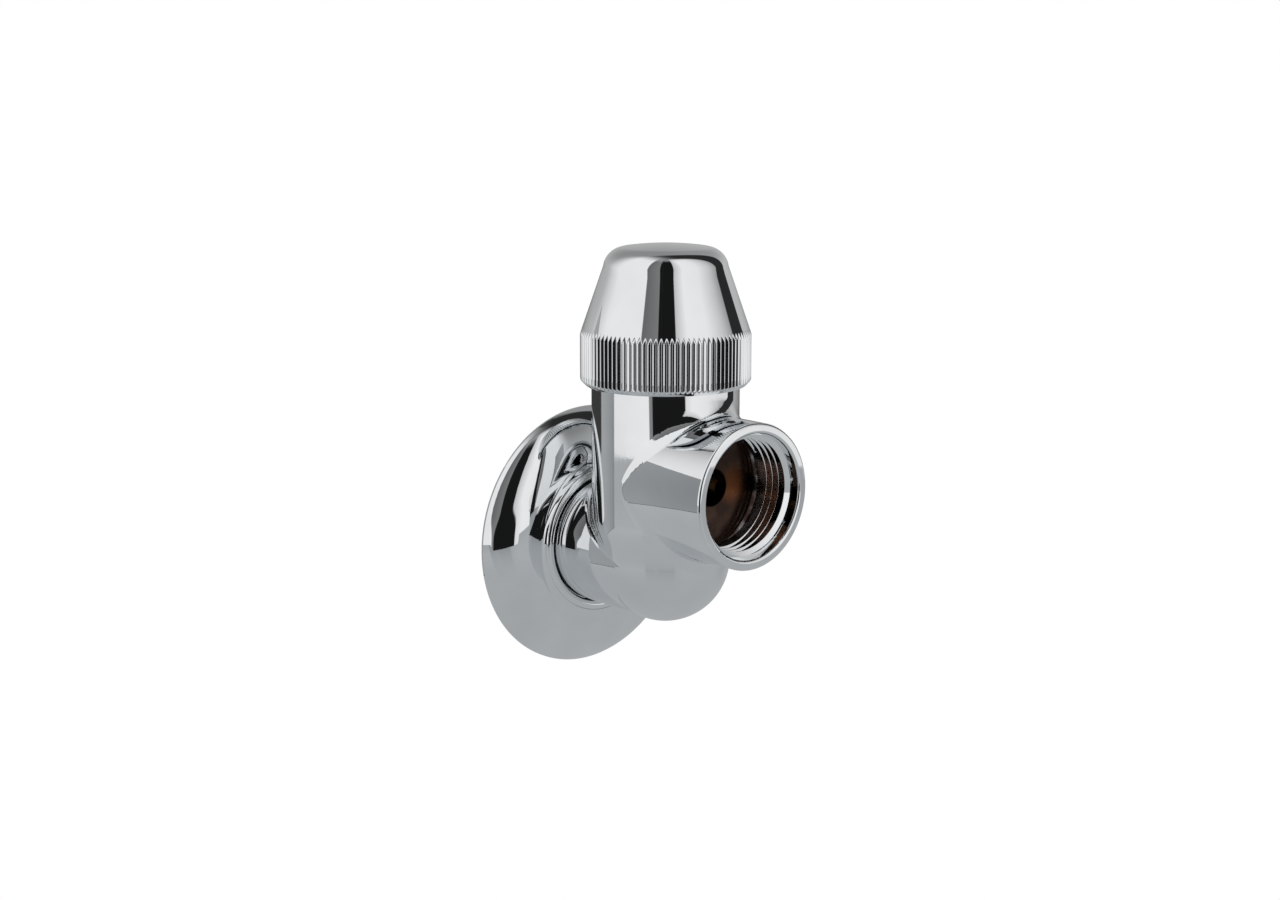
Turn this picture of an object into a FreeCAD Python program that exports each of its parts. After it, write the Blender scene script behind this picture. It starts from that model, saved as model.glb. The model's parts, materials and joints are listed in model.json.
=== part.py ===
"""Angle stop valve with a wall escutcheon, a bell handle and a non-rising spindle.

Frame: +Z points up along the spindle, -Y points from the wall to the outlet, X goes across.
The origin is where the inlet axis meets the wall face. All lengths are in millimetres.
The valve is modelled closed. Turning the handle lifts the seat washer off the seat.
"""
import FreeCAD, Part
import math
import os

Vector = FreeCAD.Vector

ORIGIN = Vector(0, 0, 0)
UP = Vector(0, 0, 1)
TO_WALL = Vector(0, 1, 0)

# ---------------------------------------------------------------- driving dimensions

# The layout of the body
spindle_y = -27.3          # spindle axis, in front of the wall face
outlet_z = 17.3            # outlet axis above the inlet axis
outlet_reach = 27.3        # outlet face in front of the spindle axis
outlet_y = spindle_y - outlet_reach
barrel_radius = 15.9
barrel_top = 39.8
branch_radius = 14.1       # inlet branch and the bowl that ends it
outlet_radius = 15.5
blend_radius = 4.0         # cast fillets between the barrel and its branches
bowl_z = -0.3              # centre of the round bowl
bowl_blend_z = 9.0         # height where the bowl has widened to the barrel

# G 3/4 pipe thread, 14 turns to the inch
thread_pitch = 1.814
thread_major = 13.22
thread_minor = 12.06
inlet_thread_length = 13.0
inlet_thread_start = 3.5
undercut_radius = 12.7     # relief between the inlet thread and the shoulder, where the seal lies
undercut_end = 0.7
shoulder_y = -1.5          # end face of the inlet branch
lead_in_radius = 13.3      # plain mouth of the outlet in front of its thread
lead_in_depth = 2.3
outlet_bore_depth = 11.2
outlet_dish = 1.6          # how far the bore's round floor sinks at its middle
outlet_port_radius = 4.0
edge_chamfer = 0.7
mouth_round = 0.6          # rounded edges of the outlet's end face

# Waterway
waterway_radius = 6.75
riser_radius = 6.0
seat_z = 10.0
seat_land_radius = 7.5
chamber_radius = 10.0
chamber_floor = 8.8
bonnet_bore_radius = 12.6
bonnet_bore_floor = 30.5

# Headwork
lift = 6.0
washer_height = 3.4
washer_radius = 8.4
cup_radius = 9.3
cup_wall = 1.8             # how far the cup reaches down round the washer
cup_floor_height = 2.2
screw_radius = 1.9
screw_head_radius = 3.4
retainer_radius = 4.9
retainer_height = 0.8
carrier_across_flats = 13.0
carrier_top = 29.6
carrier_bore_floor = 16.2
drive_thread_radius = 4.5
drive_thread_core = 3.6
spindle_bottom = 22.5
spindle_radius = 4.5
collar_radius = 6.5
collar_bottom = 36.1
collar_top = 37.5
shoulder_z = 38.2          # inside shoulder of the bonnet that the spindle pushes against
bonnet_bottom = 23.7
bonnet_skirt_radius = 9.7
bonnet_thread_radius = 12.5
bonnet_across_flats = 25.0
bonnet_hex_top = 43.4
bonnet_neck_radius = 8.2
bonnet_top = 47.4
seal_step_depth = 1.5
ring_section = 0.63        # section radius of the spindle's O-rings
lower_ring_z = 41.2
upper_ring_z = 44.4
circlip_z = 48.1
circlip_radius = 6.8
circlip_groove = 3.7
circlip_height = 0.7
circlip_opening = 2.6
spline_bottom = 49.4
spline_top = 58.6
spline_teeth = 20
spline_radius = 4.2
spline_root = 3.8
snap_ring_z = 56.4
snap_ring_radius = 5.2
snap_ring_groove = 3.3
snap_ring_height = 0.8
snap_ring_opening = 2.2

# Handle bell
knurl_radius = 18.3
bell_bottom = 37.8
knurl_top = 48.6
shoulder_radius = 13.3
shoulder_start = 63.1
shoulder_bulge_radius = 12.05
shoulder_bulge_z = 65.65
bell_top = 67.7
crown_radius = 9.2         # where the rounded shoulder meets the domed crown
crown_start = 67.05
bell_bore_radius = 16.35
bell_wall = 1.8
knurl_chamfer = 1.1
flute_count = 100
flute_depth = 0.5
hub_radius = 7.2
hub_groove_radius = 5.4
rib_bottom = 51.5
rib_thickness = 1.8
rib_bars = 3

# Escutcheon
rosette_radius = 29.4
rosette_thickness = 0.9
rim_height = 0.5
steep_radius = 28.6        # the dome rises steeply from the rim
steep_height = 1.75
haunch_radius = 27.0
haunch_height = 3.35
crest_radius = 25.0
crest_height = 4.65
brow_radius = 22.8
brow_height = 5.5
flat_start_radius = 20.4   # nearly flat ring round the collar
flat_start_height = 6.02
foot_radius = 18.4
foot_height = 6.15
collar_outer = 16.5
collar_inner = 14.4
pocket_radius = 15.3       # room behind the lip for the grip ring
collar_depth = 7.2
lip_height = 0.75
lip_land = 0.2             # straight part of the collar's bore
grip_section = 0.44

# Fits
running_gap = 0.05
loose_gap = 0.1


# ---------------------------------------------------------------- building blocks

def at_spindle(x, z, turn=0.0):
    """A point at radius x and height z on the spindle's side, turned about the spindle."""
    return Vector(x * math.cos(turn), spindle_y + x * math.sin(turn), z)


def upright(radius, bottom, top):
    """Cylinder on the spindle axis."""
    return Part.makeCylinder(radius, top - bottom, at_spindle(0, bottom), UP)


def level(radius, start_y, end_y, height=0.0):
    """Cylinder along Y at the stated height."""
    return Part.makeCylinder(radius, end_y - start_y, Vector(0, start_y, height), TO_WALL)


def tube(outer, inner, bottom, top):
    """Upright tube on the spindle axis."""
    return upright(outer, bottom, top).cut(upright(inner, bottom, top))


def turned(points):
    """Solid turned about the spindle axis from (radius, height) corners."""
    corners = [at_spindle(radius, height) for radius, height in points]
    face = Part.Face(Part.makePolygon(corners + corners[:1]))
    return face.revolve(at_spindle(0, 0), UP, 360)


def hexagon(across_flats, bottom, top):
    """Hexagonal bar on the spindle axis with two flats square to X."""
    corner = across_flats / math.sqrt(3)
    corners = [at_spindle(corner, bottom, math.radians(60 * side + 30)) for side in range(6)]
    return Part.Face(Part.makePolygon(corners + corners[:1])).extrude(UP * (top - bottom))


def toothed_bar(tip, root, teeth, bottom, top):
    """Splined bar on the spindle axis with pointed teeth."""
    step = math.pi / teeth
    corners = []
    for index in range(2 * teeth):
        radius = root if index % 2 else tip
        corners.append(at_spindle(radius, bottom, index * step))
    return Part.Face(Part.makePolygon(corners + corners[:1])).extrude(UP * (top - bottom))


def ring(middle_radius, section_radius, height):
    """O-ring round the spindle axis."""
    return Part.makeTorus(middle_radius, section_radius, at_spindle(0, height), UP)


def thread_groove(inner, outer, pitch, length, open_side):
    """Helical groove about +Z between two radii, wide at its open side ('inner' or 'outer')."""
    root_half = 0.14 * pitch
    mouth_half = 0.42 * pitch
    overrun = 0.3
    slope = (mouth_half - root_half) / (outer - inner)
    wide = mouth_half + slope * overrun
    if open_side == "inner":
        corners = [(inner - overrun, wide), (outer, root_half)]
    else:
        corners = [(outer + overrun, wide), (inner, root_half)]
    (mouth_radius, mouth), (root_radius, root) = corners
    outline = [
        Vector(mouth_radius, 0, -mouth),
        Vector(root_radius, 0, -root),
        Vector(root_radius, 0, root),
        Vector(mouth_radius, 0, mouth),
    ]
    helix = Part.Wire(Part.makeHelix(pitch, length, inner))
    return helix.makePipeShell([Part.makePolygon(outline + outline[:1])], True, True)


def along_y(shape, start_y, height):
    """Turn a shape built along +Z so that it runs along +Y from the stated place."""
    placed = shape.copy()
    placed.rotate(ORIGIN, Vector(1, 0, 0), -90)
    placed.translate(Vector(0, start_y, height))
    return placed


def save(name, shape):
    """Write one sub-part, after checking that it is sound."""
    if not shape.isValid() or not shape.Solids:
        raise ValueError(name + " is not a sound solid")
    shape.exportStep("parts/" + name + ".step")
    print(name, len(shape.Solids), "solid", round(shape.Volume, 1), "mm3")


# ---------------------------------------------------------------- valve body

def barrel_and_bowl():
    """Upright barrel that narrows a little into a round bowl at the bottom."""
    diagonal = branch_radius * math.sqrt(0.5)
    pole = at_spindle(0, bowl_z - branch_radius)
    equator = at_spindle(branch_radius, bowl_z)
    shoulder = at_spindle(barrel_radius, bowl_blend_z)
    rim = at_spindle(barrel_radius, barrel_top)
    bowl = Part.Arc(pole, at_spindle(diagonal, bowl_z - diagonal), equator).toShape()
    widening = Part.BSplineCurve()
    widening.interpolate([equator, shoulder], InitialTangent=UP, FinalTangent=UP)
    wall = Part.makeLine(shoulder, rim)
    top = Part.makeLine(rim, at_spindle(0, barrel_top))
    axis = Part.makeLine(at_spindle(0, barrel_top), pole)
    face = Part.Face(Part.Wire([bowl, widening.toShape(), wall, top, axis]))
    return face.revolve(at_spindle(0, 0), UP, 360)


def is_branch(face):
    """True for the outside of the inlet or outlet branch."""
    surface = face.Surface
    if not isinstance(surface, Part.Cylinder):
        return False
    return surface.Radius in (branch_radius, outlet_radius) and abs(surface.Axis.y) > 0.5


def casting():
    """Barrel, bowl and both branches, with the cast fillets between them."""
    inlet = level(branch_radius, spindle_y, shoulder_y)
    outlet = level(outlet_radius, outlet_y, spindle_y, outlet_z)
    outline = barrel_and_bowl().fuse([inlet, outlet]).removeSplitter()
    corners = []
    for edge in outline.Edges:
        faces = outline.ancestorsOfType(edge, Part.Face)
        if any(isinstance(face.Surface, Part.Plane) for face in faces):
            continue
        is_below_inlet = edge.BoundBox.ZMax < 0.5
        if any(is_branch(face) for face in faces) and not is_below_inlet:
            corners.append(edge)
    return outline.makeFillet(blend_radius, corners)


def outlet_opening():
    """Lead-in, threaded bore, dished floor and port of the outlet."""
    mouth = outlet_y
    floor = mouth + outlet_bore_depth
    lead_in = level(lead_in_radius, mouth, mouth + lead_in_depth, outlet_z)
    bore = level(thread_minor, mouth, floor, outlet_z)
    dish_radius = (thread_minor ** 2 + outlet_dish ** 2) / (2 * outlet_dish)
    ball = Part.makeSphere(dish_radius, Vector(0, floor + outlet_dish - dish_radius, outlet_z))
    dish = ball.common(level(thread_minor, floor - loose_gap, floor + 2 * outlet_dish, outlet_z))
    port = level(outlet_port_radius, mouth, spindle_y, outlet_z)
    thread_start = lead_in_depth - thread_pitch
    groove = thread_groove(thread_minor, thread_major, thread_pitch,
                           outlet_bore_depth - thread_start - thread_pitch, "inner")
    return [lead_in, bore, dish, port, along_y(groove, mouth + thread_start, outlet_z)]


def waterway():
    """Inlet bore, riser, valve chamber and the bore that takes the bonnet."""
    inlet = level(waterway_radius, spindle_y, inlet_thread_length)
    inlet_end = Part.makeSphere(waterway_radius, at_spindle(0, 0))
    riser = upright(riser_radius, 0, seat_z)
    chamber = upright(chamber_radius, chamber_floor, barrel_top)
    seat = tube(seat_land_radius, riser_radius, chamber_floor, seat_z)
    bonnet_bore = upright(bonnet_bore_radius, bonnet_bore_floor, barrel_top)
    seal_step = upright(bonnet_bore_radius + 2 * ring_section, barrel_top - seal_step_depth, barrel_top)
    return [inlet, inlet_end, riser, chamber.cut(seat), bonnet_bore, seal_step]


def inlet_spigot():
    """Male G 3/4 thread that screws into the wall fitting."""
    shank = level(undercut_radius, shoulder_y - 0.5, undercut_end).fuse(
        level(thread_major, undercut_end, inlet_thread_length))
    bevel_start = inlet_thread_length - edge_chamfer
    bevel = level(thread_major, bevel_start, inlet_thread_length).cut(
        Part.makeCone(thread_major, thread_major - edge_chamfer, edge_chamfer,
                      Vector(0, bevel_start, 0), TO_WALL))
    groove = thread_groove(thread_minor, thread_major, thread_pitch,
                           inlet_thread_length - inlet_thread_start, "outer")
    return shank.cut([bevel, along_y(groove, inlet_thread_start, 0)])


def rounded_mouth(solid):
    """Round both edges of the outlet's end face."""
    rims = []
    for edge in solid.Edges:
        is_at_mouth = abs(edge.BoundBox.YMax - outlet_y) < 0.001
        if is_at_mouth and isinstance(edge.Curve, Part.Circle) and edge.Curve.Radius > thread_major:
            rims.append(edge)
    return solid.makeFillet(mouth_round, rims)


def valve_body():
    solid = casting().cut([level(lead_in_radius, outlet_y, outlet_y + lead_in_depth, outlet_z)])
    solid = rounded_mouth(solid).fuse(inlet_spigot())
    return solid.cut(waterway()).cut(outlet_opening())


# ---------------------------------------------------------------- wall side

def escutcheon():
    """Pressed rosette: steep edge, rounded dome, nearly flat ring and a raised collar."""

    def point(radius, height):
        return Vector(radius, -height, 0)

    rim = point(rosette_radius, rim_height)
    foot = point(foot_radius, foot_height)
    dome = Part.BSplineCurve()
    dome.interpolate([
        rim, point(steep_radius, steep_height), point(haunch_radius, haunch_height),
        point(crest_radius, crest_height), point(brow_radius, brow_height),
        point(flat_start_radius, flat_start_height), foot,
    ])
    inside_points = []
    inside_count = 9
    for index in range(inside_count):
        share = index / (inside_count - 1)
        place = dome.FirstParameter + share * (dome.LastParameter - dome.FirstParameter)
        along = dome.tangent(place)[0]
        inward = Vector(along.y, -along.x, 0)
        inside_points.append(dome.value(place) + inward * rosette_thickness)
    inside = Part.BSplineCurve()
    inside.interpolate(inside_points)
    inner_rim = inside_points[0]
    inner_foot = inside_points[-1]
    throat_middle = point(collar_outer + 0.55, foot_height + 0.12)
    throat = point(collar_outer, foot_height + 0.4)
    lip_start = point(collar_outer, collar_depth - lip_height)
    lip_top = point((collar_outer + collar_inner) / 2, collar_depth)
    lip_end = point(collar_inner, collar_depth - lip_height)
    lip_back = point(collar_inner, collar_depth - lip_height - lip_land)
    pocket_top = point(pocket_radius, collar_depth - lip_height - lip_land)
    pocket_foot = Vector(pocket_radius, inner_foot.y, 0)
    inner_edge = Vector(inner_rim.x, 0, 0)
    outer_edge = point(rosette_radius, 0)
    edges = [
        Part.makeLine(outer_edge, rim),
        dome.toShape(),
        Part.Arc(foot, throat_middle, throat).toShape(),
        Part.makeLine(throat, lip_start),
        Part.Arc(lip_start, lip_top, lip_end).toShape(),
        Part.makeLine(lip_end, lip_back),
        Part.makeLine(lip_back, pocket_top),
        Part.makeLine(pocket_top, pocket_foot),
        Part.makeLine(pocket_foot, inner_foot),
        inside.toShape(),
        Part.makeLine(inner_rim, inner_edge),
        Part.makeLine(inner_edge, outer_edge),
    ]
    return Part.Face(Part.Wire(edges)).revolve(ORIGIN, TO_WALL, 360)


def grip_ring():
    """Rubber ring in the pocket behind the collar's lip, round the inlet branch."""
    middle = branch_radius + grip_section + running_gap
    depth = collar_depth - lip_height - lip_land - grip_section - running_gap
    return Part.makeTorus(middle, grip_section, Vector(0, -depth, 0), TO_WALL)


def inlet_seal():
    """Flat sealing ring in the undercut of the inlet thread, against the shoulder of the branch."""
    front = shoulder_y + running_gap
    return level(branch_radius, front, running_gap).cut(level(undercut_radius + running_gap, front, running_gap))


# ---------------------------------------------------------------- headwork

def bonnet():
    skirt = upright(bonnet_skirt_radius, bonnet_bottom, bonnet_bore_floor)
    screwed = upright(bonnet_thread_radius, bonnet_bore_floor + loose_gap, barrel_top + loose_gap)
    root = upright(bonnet_skirt_radius, bonnet_bore_floor, bonnet_bore_floor + 1)
    hexagonal = hexagon(bonnet_across_flats, barrel_top + loose_gap, bonnet_hex_top)
    hex_dome = upright(bonnet_across_flats / 2 + 1.2, barrel_top, bonnet_hex_top)
    neck = upright(bonnet_neck_radius, bonnet_hex_top, bonnet_top)
    solid = skirt.fuse([root, screwed, hexagonal.common(hex_dome), neck])
    guide = hexagon(carrier_across_flats + 2 * loose_gap, bonnet_bottom, shoulder_z)
    shaft_hole = upright(spindle_radius + running_gap, shoulder_z, bonnet_top)
    return solid.cut([guide, shaft_hole])


def bonnet_seal():
    middle = bonnet_bore_radius + ring_section
    return ring(middle, ring_section - running_gap, barrel_top - ring_section)


def spindle():
    """Screw below, thrust collar, smooth shaft with two ring grooves, splined head."""
    groove_root = spindle_radius - 2 * ring_section
    groove_half = ring_section + loose_gap
    screw = upright(drive_thread_radius - loose_gap, spindle_bottom, collar_bottom)
    lead = 2.0
    thread_run = collar_bottom - spindle_bottom - lead
    groove = thread_groove(drive_thread_core, drive_thread_radius, lead, thread_run, "outer")
    groove = groove.mirror(ORIGIN, Vector(1, 0, 0))
    groove.translate(at_spindle(0, spindle_bottom))
    collar = upright(collar_radius, collar_bottom, collar_top)
    shaft = upright(spindle_radius, collar_top, spline_bottom)
    head = toothed_bar(spline_radius, spline_root, spline_teeth, spline_bottom, spline_top)
    solid = screw.cut(groove).fuse([collar, shaft, head])
    cuts = []
    for height in (lower_ring_z, upper_ring_z):
        cuts.append(tube(spindle_radius + 1, groove_root, height - groove_half, height + groove_half))
    circlip_half = circlip_height / 2 + running_gap
    snap_half = snap_ring_height / 2 + loose_gap
    cuts.append(tube(spindle_radius + 1, circlip_groove, circlip_z - circlip_half, circlip_z + circlip_half))
    cuts.append(tube(spindle_radius + 1, snap_ring_groove, snap_ring_z - snap_half, snap_ring_z + snap_half))
    return solid.cut(cuts)


def spindle_ring(height):
    middle = spindle_radius - ring_section
    return ring(middle, ring_section - 0.03, height)


def open_ring(outer, inner, height, thickness, opening):
    """Spring ring with a gap, lying in a groove of the spindle."""
    bottom = height - thickness / 2
    whole = tube(outer, inner, bottom, bottom + thickness)
    slot = Part.makeBox(2 * outer, opening, thickness, at_spindle(0, bottom) - Vector(0, opening / 2, 0))
    return whole.cut(slot)


def thrust_washer():
    bottom = collar_top + running_gap
    return tube(collar_radius, spindle_radius + running_gap, bottom, shoulder_z - running_gap)


def disc_carrier():
    """Hexagonal nut on the spindle's screw, with a cup below that holds the seat washer."""
    cup_bottom = seat_z + washer_height - cup_wall
    recess_top = seat_z + washer_height
    cup_top = recess_top + cup_floor_height
    cup = upright(cup_radius, cup_bottom, cup_top)
    nut = hexagon(carrier_across_flats, cup_top, carrier_top)
    recess = upright(washer_radius + running_gap, cup_bottom, recess_top)
    bore = upright(drive_thread_radius, carrier_bore_floor, carrier_top)
    screw_hole = upright(screw_radius + running_gap, recess_top, carrier_bore_floor)
    return cup.fuse(nut).cut([recess, bore, screw_hole])


def seat_washer():
    top = seat_z + washer_height - running_gap
    return tube(washer_radius, screw_radius + running_gap, seat_z + 0.02, top)


def washer_retainer():
    top = seat_z
    return tube(retainer_radius, screw_radius + running_gap, top - retainer_height, top)


def washer_screw():
    """Round-headed screw through the retainer and the seat washer, with a screwdriver slot."""
    head_top = seat_z - retainer_height - 0.02
    head_bottom = head_top - 1.8
    head = turned([(0, head_bottom), (1.6, head_bottom), (2.8, head_bottom + 0.5),
                   (screw_head_radius, head_bottom + 1.2), (screw_head_radius, head_top), (0, head_top)])
    shank = upright(screw_radius, head_top - 0.5, carrier_bore_floor)
    slot = Part.makeBox(2 * screw_head_radius, 0.9, 0.8,
                        at_spindle(0, head_bottom) - Vector(screw_head_radius, 0.45, 0))
    return head.fuse(shank).cut(slot)


# ---------------------------------------------------------------- handle

def bell_flutes():
    """Pointed grooves parallel to the axis, which run out on the cone above the band."""
    half_step = math.pi / flute_count
    outer = knurl_radius + 0.6
    inner = knurl_radius - flute_depth
    reach = half_step * (outer - inner) / flute_depth
    height = 8.0 * flute_depth + knurl_top - bell_bottom
    grooves = []
    for index in range(flute_count):
        middle = 2 * half_step * index
        corners = [
            at_spindle(inner, bell_bottom - 1, middle),
            at_spindle(outer, bell_bottom - 1, middle - reach),
            at_spindle(outer, bell_bottom - 1, middle + reach),
        ]
        prism = Part.Face(Part.makePolygon(corners + corners[:1])).extrude(UP * (height + 1))
        grooves.append(prism)
    return Part.makeCompound(grooves)


def bell_inside(gap=0.0):
    """Space inside the bell, or the same space made smaller by a gap."""
    cone_start = knurl_top - 0.6
    roof = bell_top - bell_wall - gap
    return turned([
        (0, bell_bottom), (bell_bore_radius - gap, bell_bottom), (bell_bore_radius - gap, cone_start),
        (shoulder_radius - bell_wall - gap, shoulder_start - 0.8),
        (crown_radius - 0.8 - gap, roof), (0, roof),
    ])


def handle_bell():
    crown_drop = bell_top - crown_start
    crown_sphere = (crown_radius ** 2 + crown_drop ** 2) / (2 * crown_drop)
    middle_height = math.sqrt(crown_sphere ** 2 - crown_radius ** 2 / 4)
    start = at_spindle(0, bell_bottom)
    foot = at_spindle(knurl_radius - knurl_chamfer, bell_bottom)
    band_start = at_spindle(knurl_radius, bell_bottom + knurl_chamfer)
    band_end = at_spindle(knurl_radius, knurl_top)
    cone_end = at_spindle(shoulder_radius, shoulder_start)
    shoulder_middle = at_spindle(shoulder_bulge_radius, shoulder_bulge_z)
    crown = at_spindle(crown_radius, crown_start)
    crown_middle = at_spindle(crown_radius / 2, bell_top - crown_sphere + middle_height)
    top = at_spindle(0, bell_top)
    edges = [
        Part.makeLine(start, foot),
        Part.makeLine(foot, band_start),
        Part.makeLine(band_start, band_end),
        Part.makeLine(band_end, cone_end),
        Part.Arc(cone_end, shoulder_middle, crown).toShape(),
        Part.Arc(crown, crown_middle, top).toShape(),
        Part.makeLine(top, start),
    ]
    outside = Part.Face(Part.Wire(edges)).revolve(start, UP, 360)
    return outside.cut(bell_inside()).cut(bell_flutes())


def handle_insert():
    """Plastic hub with a splined socket and six ribs that sit in the bell's cone."""
    hub_bottom = spline_bottom + 0.4
    roof = bell_top - bell_wall - running_gap
    socket_top = spline_top + 0.6
    hub = upright(hub_radius, hub_bottom, roof)
    ribs = []
    for side in range(rib_bars):
        bar = Part.makeBox(2 * knurl_radius, rib_thickness, roof - rib_bottom,
                           at_spindle(0, rib_bottom) - Vector(knurl_radius, rib_thickness / 2, 0))
        bar.rotate(at_spindle(0, 0), UP, 180 / rib_bars * side)
        ribs.append(bar)
    socket = toothed_bar(spline_radius + running_gap, spline_root + running_gap, spline_teeth,
                         hub_bottom, socket_top)
    snap_half = snap_ring_height / 2 + loose_gap
    ring_groove = upright(hub_groove_radius, snap_ring_z - snap_half, snap_ring_z + snap_half)
    solid = hub.fuse(ribs).common(bell_inside(running_gap))
    return solid.cut([socket, ring_groove])


# ---------------------------------------------------------------- all sub-parts

def main():
    os.makedirs("parts", exist_ok=True)
    save("valve_body", valve_body())
    save("escutcheon", escutcheon())
    save("escutcheon_grip_ring", grip_ring())
    save("inlet_seal_ring", inlet_seal())
    save("bonnet", bonnet())
    save("bonnet_seal", bonnet_seal())
    save("spindle", spindle())
    save("spindle_thrust_washer", thrust_washer())
    save("spindle_lower_ring", spindle_ring(lower_ring_z))
    save("spindle_upper_ring", spindle_ring(upper_ring_z))
    save("spindle_circlip", open_ring(circlip_radius, circlip_groove + running_gap, circlip_z,
                                      circlip_height, circlip_opening))
    save("disc_carrier", disc_carrier())
    save("seat_washer", seat_washer())
    save("washer_retainer", washer_retainer())
    save("washer_screw", washer_screw())
    save("handle_bell", handle_bell())
    save("handle_insert", handle_insert())
    save("handle_snap_ring", open_ring(snap_ring_radius, snap_ring_groove + loose_gap, snap_ring_z,
                                       snap_ring_height, snap_ring_opening))


main()
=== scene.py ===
import json
import math

import bpy
import numpy as np
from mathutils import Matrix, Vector


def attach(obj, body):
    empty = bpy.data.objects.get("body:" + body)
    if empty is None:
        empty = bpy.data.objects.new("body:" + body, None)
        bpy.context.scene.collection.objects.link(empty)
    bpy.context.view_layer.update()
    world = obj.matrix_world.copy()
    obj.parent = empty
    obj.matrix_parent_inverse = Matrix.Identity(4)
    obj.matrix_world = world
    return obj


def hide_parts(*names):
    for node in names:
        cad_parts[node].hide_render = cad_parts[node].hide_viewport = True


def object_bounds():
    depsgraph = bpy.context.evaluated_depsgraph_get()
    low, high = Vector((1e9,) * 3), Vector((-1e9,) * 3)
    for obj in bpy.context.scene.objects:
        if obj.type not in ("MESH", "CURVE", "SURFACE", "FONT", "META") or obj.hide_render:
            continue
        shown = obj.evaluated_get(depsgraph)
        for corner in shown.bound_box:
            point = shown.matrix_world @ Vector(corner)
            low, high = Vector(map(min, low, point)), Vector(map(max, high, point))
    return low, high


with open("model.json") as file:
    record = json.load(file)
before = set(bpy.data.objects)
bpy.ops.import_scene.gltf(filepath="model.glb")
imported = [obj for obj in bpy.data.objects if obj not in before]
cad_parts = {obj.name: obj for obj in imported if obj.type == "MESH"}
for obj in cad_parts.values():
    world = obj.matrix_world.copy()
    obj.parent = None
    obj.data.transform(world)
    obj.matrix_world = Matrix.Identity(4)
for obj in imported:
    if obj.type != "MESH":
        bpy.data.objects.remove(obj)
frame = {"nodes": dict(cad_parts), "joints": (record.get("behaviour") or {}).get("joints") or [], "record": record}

CAD_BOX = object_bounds()
MM = 0.001

SPINDLE = Vector(next(j for j in frame["joints"] if j["name"] == "handle_turn")["pos_m"])
FLOOR_Z = CAD_BOX[0][2] - 0.0005

# The outlet's place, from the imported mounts
OUTLET = Vector(next(m for m in frame["record"]["mounts"] if m["name"] == "outlet_thread")["pos_m"])
MOUTH_Y = CAD_BOX[0][1]


# ---------------------------------------------------------------- node helpers

def new_material(name):
    material = bpy.data.materials.new(name)
    material.use_nodes = True
    tree = material.node_tree
    tree.nodes.clear()
    output = tree.nodes.new("ShaderNodeOutputMaterial")
    shader = tree.nodes.new("ShaderNodeBsdfPrincipled")
    tree.links.new(shader.outputs["BSDF"], output.inputs["Surface"])
    return material, tree, shader


def add(tree, kind, inputs=None, **settings):
    node = tree.nodes.new(kind)
    for key, value in settings.items():
        setattr(node, key, value)
    for key, value in (inputs or {}).items():
        if isinstance(value, bpy.types.NodeSocket):
            tree.links.new(value, node.inputs[key])
        else:
            node.inputs[key].default_value = value
    return node


def math_node(tree, operation, first, second=0.0, third=0.0):
    return add(tree, "ShaderNodeMath", {0: first, 1: second, 2: third}, operation=operation).outputs[0]


def place(tree):
    """Position on the piece, in metres, which stays with the piece when it moves."""
    return tree.nodes.new("ShaderNodeTexCoord").outputs["Object"]


def noise(tree, where, scale, detail=4.0, stretch=None):
    """Noise of the stated number of features per metre, which may be stretched along an axis."""
    if stretch:
        where = add(tree, "ShaderNodeMapping", {"Vector": where, "Scale": stretch}).outputs["Vector"]
    texture = add(tree, "ShaderNodeTexNoise", {"Vector": where, "Scale": scale, "Detail": detail})
    return texture.outputs["Fac"]


def remap(tree, value, low, high, to_low, to_high, smooth=False):
    node = add(tree, "ShaderNodeMapRange", {
        "Value": value, "From Min": low, "From Max": high, "To Min": to_low, "To Max": to_high,
    })
    if smooth:
        node.interpolation_type = "SMOOTHSTEP"
    return node.outputs["Result"]


def mix(tree, share, first, second):
    node = add(tree, "ShaderNodeMix", data_type="RGBA")
    for socket, value in ((0, share), (6, first), (7, second)):
        if isinstance(value, bpy.types.NodeSocket):
            tree.links.new(value, node.inputs[socket])
        else:
            node.inputs[socket].default_value = value if socket == 0 else (*value, 1)
    return node.outputs[2]


def bump(tree, height, depth, strength=1.0, under=None):
    """Bump of a real depth in metres."""
    node = add(tree, "ShaderNodeBump", {"Height": height, "Distance": depth, "Strength": strength})
    if under:
        tree.links.new(under, node.inputs["Normal"])
    return node.outputs["Normal"]


def worn_edge(tree, low, high):
    """One on sharp outer edges, zero on flat and hollow places."""
    geometry = tree.nodes.new("ShaderNodeNewGeometry")
    return remap(tree, geometry.outputs["Pointiness"], low, high, 0.0, 1.0)


# ---------------------------------------------------------------- finishes

CHROME_LIGHT = (0.86, 0.875, 0.885)
CHROME_DEEP = (0.80, 0.815, 0.83)
BRASS_RAW = (0.062, 0.037, 0.027)
BRASS_DARK = (0.032, 0.020, 0.016)
# painted glow: orange of reflected light, painted onto the outlet floor
BRASS_PAINTED_GLOW = (0.15, 0.052, 0.020)
# painted shade: near-black colour standing in for the shadow inside the port
BRASS_PORT_SHADE = (0.020, 0.013, 0.010)
BRASS_TURNED = (0.70, 0.47, 0.20)
BRASS_DULL = (0.42, 0.27, 0.12)


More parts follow.
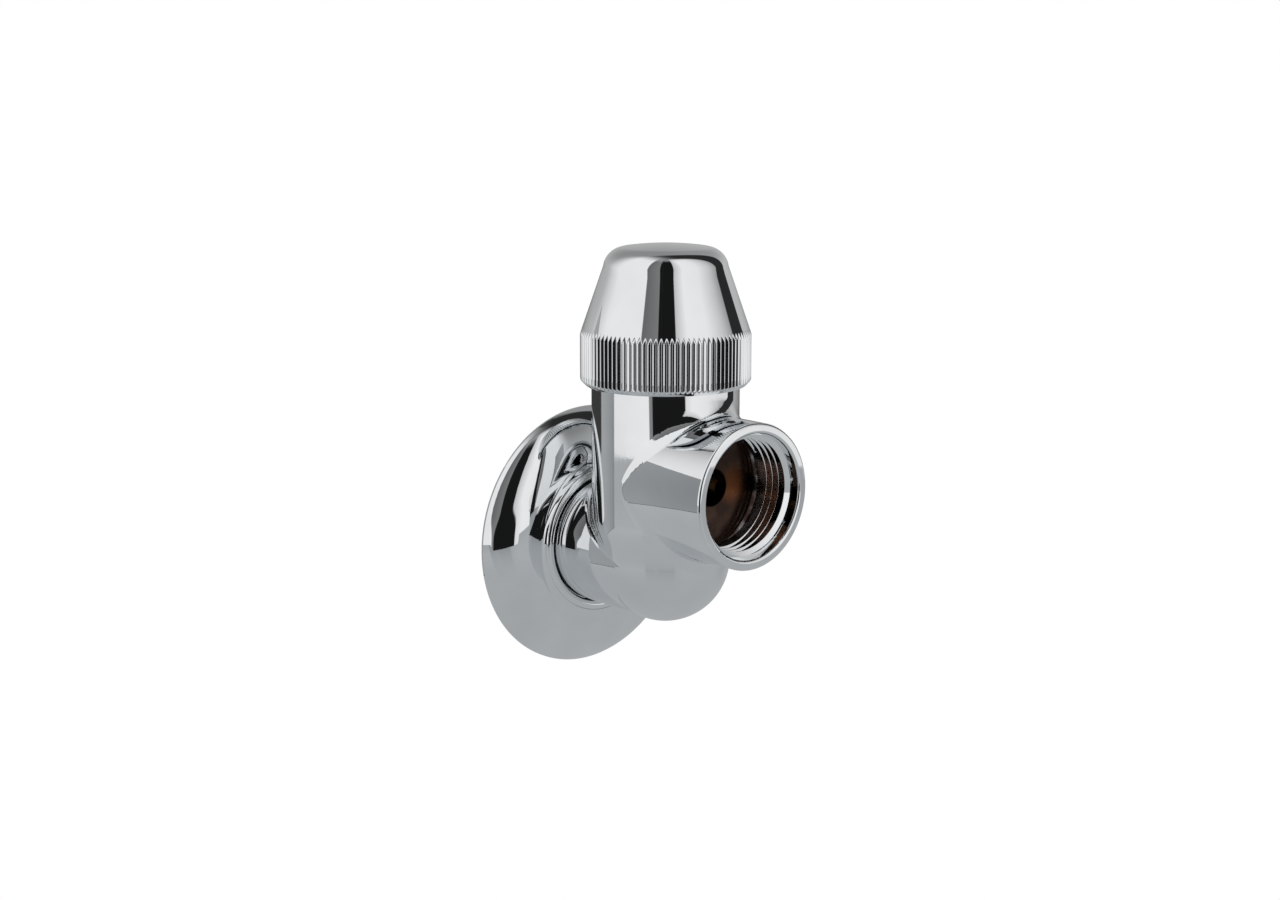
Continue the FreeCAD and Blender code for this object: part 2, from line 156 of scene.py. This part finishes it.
def chrome_base(tree, shader, waviness, polish_axis):
    """Plated metal: a slow colour drift, fine polishing lines and a slightly uneven gloss."""
    where = place(tree)
    drift = remap(tree, noise(tree, where, 90, 3), 0.3, 0.7, 0.0, 1.0)
    colour = mix(tree, drift, CHROME_LIGHT, CHROME_DEEP)
    lines = noise(tree, where, 900, 2, stretch=polish_axis)
    smudge = remap(tree, noise(tree, where, 160, 5), 0.45, 0.75, 0.0, 0.018)
    gloss = math_node(tree, "ADD", remap(tree, lines, 0.3, 0.8, 0.012, 0.03), smudge)
    edge = worn_edge(tree, 0.53, 0.62)
    gloss = math_node(tree, "MULTIPLY_ADD", edge, 0.06, gloss)
    slow = bump(tree, noise(tree, where, 70, 1), waviness)
    fine = bump(tree, lines, 0.0000004, under=slow)
    shader.inputs["Metallic"].default_value = 1
    return where, colour, gloss, fine


def link(tree, value, shader, socket):
    tree.links.new(value, shader.inputs[socket])


def chrome(name, waviness, polish_axis):
    material, tree, shader = new_material(name)
    where, colour, gloss, normal = chrome_base(tree, shader, waviness, polish_axis)
    link(tree, colour, shader, "Base Color")
    link(tree, gloss, shader, "Roughness")
    link(tree, normal, shader, "Normal")
    return material


# Where raw brass shows in the casting, with the painted shade in the port and the painted glow on the outlet
# floor: radii round each axis, and limits along it, in metres
OUTLET_MASK_RADIUS = 0.01335
OUTLET_MASK_END = 0.008             # in front of the spindle
PLATING_FADE = (0.0100, 0.0114)     # depths in the outlet between which the plating fades out
EDGE_DRIFT = 0.0012
BARREL_MASK_RADIUS = 0.0135
BARREL_MASK_HEIGHTS = (0.006, 0.0392)
INLET_MASK_RADIUS = 0.0071
INLET_MASK_START = 0.0075           # in front of the spindle
SPIGOT_MASK_RADIUS = 0.014
SPIGOT_MASK_START = 0.0008
# painted shade: radius of the port, whose inside is darkened as if in shadow
PORT_SHADE_RADIUS = 0.0042
# painted reflection: centre and radii of an orange glow of reflected light painted on the outlet floor, beside the
# port
PAINTED_GLOW_X = 0.006
PAINTED_GLOW_RADII = (0.0005, 0.0055)


def cast_chrome(name):
    """Plated casting outside, raw brass in the waterway, where the plating does not reach, with painted shade in
    the port and a painted orange glow on the outlet floor.
    """
    material, tree, shader = new_material(name)
    where, plated, gloss, normal = chrome_base(tree, shader, 0.000012, (1, 1, 6))
    axes = add(tree, "ShaderNodeSeparateXYZ", {"Vector": where})
    x, y, z = (axes.outputs[index] for index in range(3))
    x_squared = math_node(tree, "MULTIPLY", x, x)

    def distance(first, middle):
        offset = math_node(tree, "SUBTRACT", first, middle)
        return math_node(tree, "SQRT", math_node(tree, "MULTIPLY_ADD", offset, offset, x_squared))

    def both(first, second):
        return math_node(tree, "MULTIPLY", first, second)

    cloud = noise(tree, where, 230, 3)
    edge_drift = remap(tree, cloud, 0.0, 1.0, -EDGE_DRIFT, EDGE_DRIFT)
    depth = math_node(tree, "ADD", math_node(tree, "SUBTRACT", y, MOUTH_Y), edge_drift)
    above_axis = distance(z, OUTLET.z)
    from_inlet = distance(z, 0.0)
    in_outlet = both(math_node(tree, "LESS_THAN", above_axis, OUTLET_MASK_RADIUS),
                     math_node(tree, "LESS_THAN", y, SPINDLE.y - OUTLET_MASK_END))
    outlet_mask = both(in_outlet, remap(tree, depth, *PLATING_FADE, 0.0, 1.0, smooth=True))
    low, high = BARREL_MASK_HEIGHTS
    in_heights = both(math_node(tree, "GREATER_THAN", z, low), math_node(tree, "LESS_THAN", z, high))
    in_barrel = both(math_node(tree, "LESS_THAN", distance(y, SPINDLE.y), BARREL_MASK_RADIUS), in_heights)
    in_inlet = both(math_node(tree, "LESS_THAN", from_inlet, INLET_MASK_RADIUS),
                    math_node(tree, "GREATER_THAN", y, SPINDLE.y - INLET_MASK_START))
    inlet_end = both(math_node(tree, "GREATER_THAN", y, SPIGOT_MASK_START),
                     math_node(tree, "LESS_THAN", from_inlet, SPIGOT_MASK_RADIUS))
    raw = math_node(tree, "MAXIMUM", math_node(tree, "MAXIMUM", outlet_mask, in_barrel),
                    math_node(tree, "MAXIMUM", in_inlet, inlet_end))
    stain = remap(tree, cloud, 0.35, 0.65, 0.0, 1.0)
    brown = mix(tree, stain, BRASS_RAW, BRASS_DARK)
    # painted reflection: an orange glow of reflected light is mixed into the brass colour beside the port
    aside = math_node(tree, "SUBTRACT", x, PAINTED_GLOW_X)
    height = math_node(tree, "SUBTRACT", z, OUTLET.z)
    glow_distance = math_node(tree, "SQRT", math_node(tree, "MULTIPLY_ADD", height, height, both(aside, aside)))
    painted_glow = both(in_outlet, remap(tree, glow_distance, *PAINTED_GLOW_RADII, 0.9, 0.0, smooth=True))
    brown = mix(tree, painted_glow, brown, BRASS_PAINTED_GLOW)
    # painted shade: the port is darkened in colour to stand in for the shadow inside it
    port_shade = both(in_outlet, math_node(tree, "LESS_THAN", above_axis, PORT_SHADE_RADIUS))
    brown = mix(tree, port_shade, brown, BRASS_PORT_SHADE)
    clean = mix(tree, stain, BRASS_TURNED, BRASS_DULL)
    brass = mix(tree, inlet_end, brown, clean)
    link(tree, mix(tree, raw, plated, brass), shader, "Base Color")
    dull = remap(tree, cloud, 0.2, 0.8, 0.07, 0.17)
    share = add(tree, "ShaderNodeMix", {0: raw, 2: gloss, 3: dull}, data_type="FLOAT")
    link(tree, share.outputs[0], shader, "Roughness")
    grain = both(raw, noise(tree, where, 2500, 3))
    link(tree, bump(tree, grain, 0.000002, under=normal), shader, "Normal")
    return material


def turned_brass(name, light, dull, rings):
    """Lathe-turned brass: fine rings along the axis, tarnish clouds and bright worn edges."""
    material, tree, shader = new_material(name)
    where = place(tree)
    cloud = remap(tree, noise(tree, where, 260, 5), 0.35, 0.68, 0.0, 1.0)
    edge = worn_edge(tree, 0.52, 0.6)
    colour = mix(tree, edge, mix(tree, cloud, light, dull), (0.86, 0.66, 0.36))
    lathe = noise(tree, where, rings, 2, stretch=(0.05, 0.05, 1))
    tarnish = remap(tree, cloud, 0, 1, 0.0, 0.12)
    rough = math_node(tree, "ADD", remap(tree, lathe, 0.3, 0.7, 0.16, 0.26), tarnish)
    shader.inputs["Metallic"].default_value = 1
    link(tree, colour, shader, "Base Color")
    link(tree, rough, shader, "Roughness")
    link(tree, bump(tree, lathe, 0.000006), shader, "Normal")
    return material


def phosphated_steel(name):
    material, tree, shader = new_material(name)
    where = place(tree)
    grain = noise(tree, where, 3500, 4)
    cloud = remap(tree, noise(tree, where, 500, 4), 0.3, 0.7, 0.0, 1.0)
    edge = worn_edge(tree, 0.52, 0.6)
    coat = mix(tree, cloud, (0.17, 0.17, 0.18), (0.09, 0.09, 0.10))
    colour = mix(tree, edge, coat, (0.48, 0.48, 0.49))
    shader.inputs["Metallic"].default_value = 0.9
    link(tree, colour, shader, "Base Color")
    link(tree, remap(tree, grain, 0.3, 0.7, 0.32, 0.5), shader, "Roughness")
    link(tree, bump(tree, grain, 0.000005), shader, "Normal")
    return material


def soft_or_moulded(name, first, second, rough_low, rough_high, grain_scale, grain_depth):
    """Rubber, sealing plastic or moulded plastic, with a fine grain and slightly uneven colour."""
    material, tree, shader = new_material(name)
    where = place(tree)
    cloud = remap(tree, noise(tree, where, 240, 5), 0.3, 0.7, 0.0, 1.0)
    grain = noise(tree, where, grain_scale, 4)
    edge = worn_edge(tree, 0.52, 0.6)
    lighter = tuple(min(1.0, value * 1.25 + 0.01) for value in first)
    link(tree, mix(tree, edge, mix(tree, cloud, first, second), lighter), shader, "Base Color")
    link(tree, remap(tree, grain, 0.3, 0.7, rough_low, rough_high), shader, "Roughness")
    link(tree, bump(tree, grain, grain_depth), shader, "Normal")
    return material


MATERIALS = {
    "cast_body": cast_chrome("cast_chrome"),
    "rosette_chrome": chrome("rosette_chrome", 0.000008, (1, 6, 1)),
    "bell_chrome": chrome("bell_chrome", 0.000003, (1, 1, 5)),
    "turned_brass": turned_brass("turned_brass", BRASS_TURNED, BRASS_DULL, 5200),
    "spindle_brass": turned_brass("spindle_brass", (0.74, 0.52, 0.26), (0.50, 0.34, 0.16), 7000),
    "spring_steel": phosphated_steel("phosphated_steel"),
    "rubber_black": soft_or_moulded(
        "rubber_black", (0.018, 0.018, 0.019), (0.03, 0.03, 0.031), 0.4, 0.6, 2600, 0.00001),
    "rubber_seat": soft_or_moulded(
        "rubber_seat", (0.028, 0.027, 0.026), (0.05, 0.048, 0.045), 0.5, 0.7, 2200, 0.000015),
    "ptfe_white": soft_or_moulded(
        "ptfe_white", (0.82, 0.82, 0.79), (0.74, 0.74, 0.70), 0.35, 0.5, 1800, 0.000006),
    "plastic_insert": soft_or_moulded(
        "plastic_insert", (0.74, 0.73, 0.69), (0.66, 0.65, 0.61), 0.38, 0.52, 1500, 0.00001),
}
for subpart in frame["record"]["subparts"]:
    for slot in frame["nodes"][subpart["node"]].material_slots:
        slot.material = MATERIALS[subpart["material_slot"]]


# ---------------------------------------------------------------- handle bell

BELL_BOTTOM = 37.8
KNURL_RADIUS = 18.3
KNURL_TOP = 48.6
KNURL_CHAMFER = 1.1
SHOULDER_RADIUS = 13.3
SHOULDER_START = 63.1
SHOULDER_BULGE = (12.05, 65.65)
CROWN_RADIUS = 9.2
CROWN_START = 67.05
BELL_TOP = 67.7
BORE_RADIUS = 16.35
WALL = 1.8
FLUTES = 100
FLUTE_DEPTH = 0.5
COLUMNS_PER_FLUTE = 12
LAND = 1.18                # above 1, it leaves a narrow flat crest between two flutes
ROUNDNESS = 1.2            # 1 gives a pointed flute and 2 a round one


def circle_through(first, middle, last, count):
    """Points along the arc through three (radius, height) points."""
    (x1, y1), (x2, y2), (x3, y3) = first, middle, last
    d = 2 * (x1 * (y2 - y3) + x2 * (y3 - y1) + x3 * (y1 - y2))
    s1, s2, s3 = x1 * x1 + y1 * y1, x2 * x2 + y2 * y2, x3 * x3 + y3 * y3
    cx = (s1 * (y2 - y3) + s2 * (y3 - y1) + s3 * (y1 - y2)) / d
    cy = (s1 * (x3 - x2) + s2 * (x1 - x3) + s3 * (x2 - x1)) / d
    start = math.atan2(y1 - cy, x1 - cx)
    end = math.atan2(y3 - cy, x3 - cx)
    radius = math.hypot(x1 - cx, y1 - cy)
    turns = [start + (end - start) * index / count for index in range(1, count + 1)]
    return [(cx + radius * math.cos(turn), cy + radius * math.sin(turn)) for turn in turns]


def straight(first, last, count):
    """Evenly spaced points after the first one, up to the last one."""
    return [tuple(a + (b - a) * index / count for a, b in zip(first, last)) for index in range(1, count + 1)]


def bell_profile():
    """Closed outline of the bell from the middle of its roof inside, round the foot, to the top outside."""
    roof = BELL_TOP - WALL
    inner_shoulder = (SHOULDER_RADIUS - WALL, SHOULDER_START - 0.8)
    points = [(CROWN_RADIUS - 0.8, roof)]
    for target, count in ((inner_shoulder, 4), ((BORE_RADIUS, KNURL_TOP - 0.6), 6),
                          ((BORE_RADIUS, BELL_BOTTOM + 0.3), 3), ((BORE_RADIUS + 0.3, BELL_BOTTOM), 2),
                          ((KNURL_RADIUS - KNURL_CHAMFER, BELL_BOTTOM), 2),
                          ((KNURL_RADIUS - 0.12, BELL_BOTTOM + KNURL_CHAMFER - 0.12), 5),
                          ((KNURL_RADIUS, BELL_BOTTOM + KNURL_CHAMFER + 0.1), 2),
                          ((KNURL_RADIUS, KNURL_TOP - 0.25), 5)):
        points += straight(points[-1], target, count)
    slope = (KNURL_RADIUS - SHOULDER_RADIUS) / (SHOULDER_START - KNURL_TOP)
    run_out = KNURL_TOP + FLUTE_DEPTH / slope + 0.1
    cone_point = (KNURL_RADIUS - slope * 0.2, KNURL_TOP + 0.2)
    points += circle_through(points[-1], (KNURL_RADIUS - 0.018, KNURL_TOP), cone_point, 4)
    points += straight(points[-1], (KNURL_RADIUS - slope * (run_out - KNURL_TOP), run_out), 22)
    points += straight(points[-1], (SHOULDER_RADIUS, SHOULDER_START), 10)
    points += circle_through(points[-1], SHOULDER_BULGE, (CROWN_RADIUS, CROWN_START), 16)
    drop = BELL_TOP - CROWN_START
    ball = (CROWN_RADIUS ** 2 + drop ** 2) / (2 * drop)
    for index in range(1, 14):
        radius = CROWN_RADIUS * (1 - index / 14)
        points.append((radius, BELL_TOP - ball + math.sqrt(ball * ball - radius * radius)))
    return points, roof


def build_bell():
    points, roof = bell_profile()
    columns = FLUTES * COLUMNS_PER_FLUTE
    turn = np.arange(columns) * 2 * math.pi / columns
    share = np.abs((np.arange(columns) % COLUMNS_PER_FLUTE) / COLUMNS_PER_FLUTE * 2 - 1)
    flute = KNURL_RADIUS - FLUTE_DEPTH + FLUTE_DEPTH * LAND * share ** ROUNDNESS
    rows = []
    for radius, height in points:
        ring = np.full(columns, radius)
        if radius > KNURL_RADIUS - KNURL_CHAMFER + 0.05 and height > BELL_BOTTOM:
            ring = np.minimum(ring, flute)
        rows.append(np.stack([ring * np.cos(turn), ring * np.sin(turn), np.full(columns, height)], axis=1))
    vertices = np.concatenate(rows) * MM
    vertices[:, 1] += SPINDLE.y
    inner_pole = len(vertices)
    poles = [(0, SPINDLE.y, roof * MM), (0, SPINDLE.y, BELL_TOP * MM)]
    faces = []
    for row in range(len(points) - 1):
        low = row * columns
        high = low + columns
        for column in range(columns):
            after = (column + 1) % columns
            faces.append((low + column, low + after, high + after, high + column))
    last = (len(points) - 1) * columns
    for column in range(columns):
        after = (column + 1) % columns
        faces.append((after, column, inner_pole))
        faces.append((last + column, last + after, inner_pole + 1))
    mesh = bpy.data.meshes.new("bell_shell")
    mesh.from_pydata([tuple(vertex) for vertex in vertices] + poles, [], faces)
    mesh.materials.append(MATERIALS["bell_chrome"])
    mesh.shade_smooth()
    mesh.set_sharp_from_angle(angle=math.radians(40))
    mesh.validate()
    shell = bpy.data.objects.new("bell_shell", mesh)
    bpy.context.collection.objects.link(shell)
    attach(shell, "handle")
    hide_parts("handle_bell")
    return shell


build_bell()


# ---------------------------------------------------------------- studio

CAMERA_AZIMUTH = -41.4
CAMERA_ELEVATION = 11.2
FOCAL = 2000 / 1280 * 36
DISTANCE = 0.436
TARGET_RIGHT = -5.48 * MM
TARGET_UP = 22.8 * MM


def place_camera():
    a = math.radians(CAMERA_AZIMUTH)
    e = math.radians(CAMERA_ELEVATION)
    back = Vector((math.sin(a) * math.cos(e), -math.cos(a) * math.cos(e), math.sin(e)))
    right = Vector((math.cos(a), math.sin(a), 0))
    up = back.cross(right)
    target = Vector((0, SPINDLE.y, 0)) + right * TARGET_RIGHT + up * TARGET_UP
    data = bpy.data.cameras.new("camera")
    data.sensor_width = 36
    data.lens = FOCAL
    data.clip_start = 0.01
    camera = bpy.data.objects.new("camera", data)
    camera.location = target + back * DISTANCE
    camera.rotation_euler = back.to_track_quat("Z", "Y").to_euler()
    bpy.context.collection.objects.link(camera)
    bpy.context.scene.camera = camera


# Brightness round the studio, as (azimuth from the camera, positive to its right; value).
# HIGH holds from a little above the horizon upwards, and LOW near the table.
HIGH = [
    (-180, 0.46), (-140, 0.46), (-125, 0.52), (-110, 0.75), (-95, 0.90), (-35.5, 0.92), (-34.5, 0.15),
    (-12, 0.22), (-11, 0.010), (13, 0.010), (14, 0.60), (30, 0.95), (60, 0.90), (85, 0.62), (102.5, 0.36),
    (103.5, 0.025), (127, 0.03), (128.5, 0.56), (180, 0.46),
]
LOW = [
    (-180, 0.045), (-118, 0.045), (-116, 0.36), (-95, 0.36), (-93, 0.85), (-26.5, 0.95), (-25.5, 0.25),
    (-21.5, 0.25), (-20.5, 0.010), (28, 0.010), (29, 0.80), (40, 0.95), (60, 0.92), (90, 0.85), (108.5, 0.80),
    (109.5, 0.025), (127, 0.03), (128.5, 0.45), (180, 0.045),
]
DOME_RADIUS = 0.325
MIRROR_DROP = 0.008         # how far the table that the chrome sees lies below the seen one
DOME_HEIGHT = 0.02
DOME_FOOT = -24             # elevations in degrees
DOME_TOP = 89.8
DOME_STEP = 2


def from_camera_side(x, y):
    """Distance from the spindle, and azimuth from the camera, of a place on the table."""
    azimuth = math.degrees(math.atan2(x, -(y - SPINDLE.y))) - CAMERA_AZIMUTH
    return math.hypot(x, y - SPINDLE.y), (azimuth + 180) % 360 - 180


def grid_faces(rows, width):
    """Four-cornered faces of a grid of points, row by row."""
    corners = [row * width + column for row in range(rows - 1) for column in range(width - 1)]
    return [(corner, corner + 1, corner + width + 1, corner + width) for corner in corners]


def ease(value, low, high):
    share = min(1.0, max(0.0, (value - low) / (high - low)))
    return share * share * (3 - 2 * share)


GAP_AZIMUTH = 115.5         # a dark gap rises here and passes over the top
GAP_HALF_WIDTH = 12


def wall_glow(azimuth, elevation):
    """Brightness of the studio in one direction."""
    share = ease(elevation, -6, 12)
    knots = [(a + (b - a) * share, c + (d - c) * share) for (a, c), (b, d) in zip(LOW, HIGH)]
    angles, values = zip(*knots)
    glow = float(np.interp(azimuth, angles, values))
    behind = ease(abs(azimuth), 85, 130)
    glow *= 1 - behind * 0.38 * ease(elevation, 10, 45)
    e = math.radians(elevation)
    glow += (0.60 - glow) * ease(elevation, 62, 86) * (1 - behind)
    turned = math.radians(azimuth - GAP_AZIMUTH)
    across = math.degrees(math.asin(math.cos(e) * math.sin(turned)))
    along = math.cos(e) * math.cos(turned)
    blur = 1.0 + 3.0 * ease(elevation, 30, 80)
    gap = 1 - ease(abs(across), GAP_HALF_WIDTH - blur, GAP_HALF_WIDTH + blur)
    gap *= ease(along, -0.42, 0.16) * ease(elevation, 8, 16)
    return glow + (0.025 - glow) * gap


def glowing(name):
    """Emission that takes its brightness from the mesh."""
    material = bpy.data.materials.new(name)
    material.use_nodes = True
    tree = material.node_tree
    tree.nodes.clear()
    output = tree.nodes.new("ShaderNodeOutputMaterial")
    value = add(tree, "ShaderNodeAttribute", attribute_name="glow")
    glow = add(tree, "ShaderNodeEmission", {"Color": value.outputs["Color"], "Strength": 1.0})
    tree.links.new(glow.outputs["Emission"], output.inputs["Surface"])
    return material


def stage_mesh(name, vertices, faces, glows, tint=(1, 1, 1)):
    mesh = bpy.data.meshes.new(name)
    mesh.from_pydata(vertices, [], faces)
    colours = mesh.attributes.new("glow", "FLOAT_COLOR", "POINT")
    data = np.array([[glow * tint[0], glow * tint[1], glow * tint[2], 1.0] for glow in glows], np.float32)
    colours.data.foreach_set("color", data.ravel())
    mesh.materials.append(glowing(name + "_glow"))
    stage = bpy.data.objects.new(name, mesh)
    bpy.context.collection.objects.link(stage)
    stage.visible_shadow = False
    return stage


def build_dome():
    """Soft boxes and dark gaps of the studio, as one dome round the valve."""
    elevations = list(range(DOME_FOOT, 90, DOME_STEP)) + [DOME_TOP]
    azimuths = [index * 0.5 - 180 for index in range(721)]
    vertices = []
    glows = []
    for elevation in elevations:
        e = math.radians(elevation)
        for azimuth in azimuths:
            a = math.radians(azimuth + CAMERA_AZIMUTH)
            vertices.append((DOME_RADIUS * math.cos(e) * math.sin(a),
                             SPINDLE.y - DOME_RADIUS * math.cos(e) * math.cos(a),
                             DOME_HEIGHT + DOME_RADIUS * math.sin(e)))
            glows.append(wall_glow(azimuth, elevation))
    dome = stage_mesh("studio_dome", vertices, grid_faces(len(elevations), len(azimuths)), glows)
    dome.visible_camera = False


FLOOR_GLOW = 0.45
FRONT_EDGE = 0.2            # where the table ends towards the camera; elsewhere it meets the dome
FLOOR_STEP = 0.0065
FLOOR_HALF_COUNT = 55
SEEN_FLOOR_HALF = 3.0
TABLE_TINT = (0.94, 0.975, 1.0)
CARD_TINT = (0.95, 0.98, 1.0)
FOOT_GLOWS = (0.08, 0.22)   # of the thin line at the card's foot, at its left and right ends
CARD_LEFT_GLOW = 0.28
CARD_RIGHT_GLOW = 0.42
CARD_LEFT = (-0.142, 0.072)      # a grey card stands behind the wall plane, on the left
CARD_RIGHT = (-0.046, 0.0547)
CARD_TOP = 0.0755
CARD_FOOT_LINE = 0.0012


def floor_glow(x, y):
    """Brightness of the table as the chrome sees it."""
    distance, azimuth = from_camera_side(x, y)
    mirrored = wall_glow(azimuth, 8) - 0.5
    sheen = 0.14 * mirrored * ease(distance, 0.04, 0.2)
    return FLOOR_GLOW + sheen - 0.06 * ease(distance, 0.1, 0.28)


def pulled_in(x, y):
    """The table's edge, which lies nearer towards the camera than elsewhere."""
    distance, azimuth = from_camera_side(x, y)
    limit = FRONT_EDGE + (DOME_RADIUS - FRONT_EDGE) * ease(abs(azimuth - 4), 30, 34)
    if distance <= limit:
        return x, y
    return x * limit / distance, SPINDLE.y + (y - SPINDLE.y) * limit / distance


def build_card():
    """Upright grey card, with a thin dark line along its foot."""
    foot = FLOOR_Z - MIRROR_DROP
    line = foot + CARD_FOOT_LINE
    heights = [foot, line, line + 0.0001, CARD_TOP]
    vertices = [(*end, z) for z in heights for end in (CARD_LEFT, CARD_RIGHT)]
    glows = [*FOOT_GLOWS] * 2 + [CARD_LEFT_GLOW, CARD_RIGHT_GLOW] * 2
    faces = [(2 * row, 2 * row + 1, 2 * row + 3, 2 * row + 2) for row in range(3)]
    card = stage_mesh("studio_card", vertices, faces, glows, tint=CARD_TINT)
    card.visible_camera = False
    card.visible_diffuse = False


def build_floor():
    """The table twice: as the chrome sees it, and plain white for the camera."""
    xs = [index * FLOOR_STEP for index in range(-FLOOR_HALF_COUNT, FLOOR_HALF_COUNT + 1)]
    ys = [SPINDLE.y + x for x in xs]
    height = FLOOR_Z - MIRROR_DROP
    vertices = [(*pulled_in(x, y), height) for y in ys for x in xs]
    glows = [floor_glow(x, y) for y in ys for x in xs]
    faces = grid_faces(len(ys), len(xs))
    mirrored = stage_mesh("floor_mirrored", vertices, faces, glows, tint=TABLE_TINT)
    mirrored.visible_camera = False
    half = SEEN_FLOOR_HALF
    corners = [(-half, -half, FLOOR_Z), (half, -half, FLOOR_Z), (half, half, FLOOR_Z), (-half, half, FLOOR_Z)]
    seen = stage_mesh("floor", corners, [(0, 1, 2, 3)], [1.0] * 4)
    seen.visible_glossy = False
    seen.visible_diffuse = False


def build_world():
    world = bpy.data.worlds.new("world")
    world.use_nodes = True
    world.node_tree.nodes["Background"].inputs["Color"].default_value = (1, 1, 1, 1)
    world.node_tree.nodes["Background"].inputs["Strength"].default_value = 1
    bpy.context.scene.world = world
    bpy.context.scene.view_settings.view_transform = "Standard"


place_camera()
build_dome()
build_card()
build_floor()
build_world()
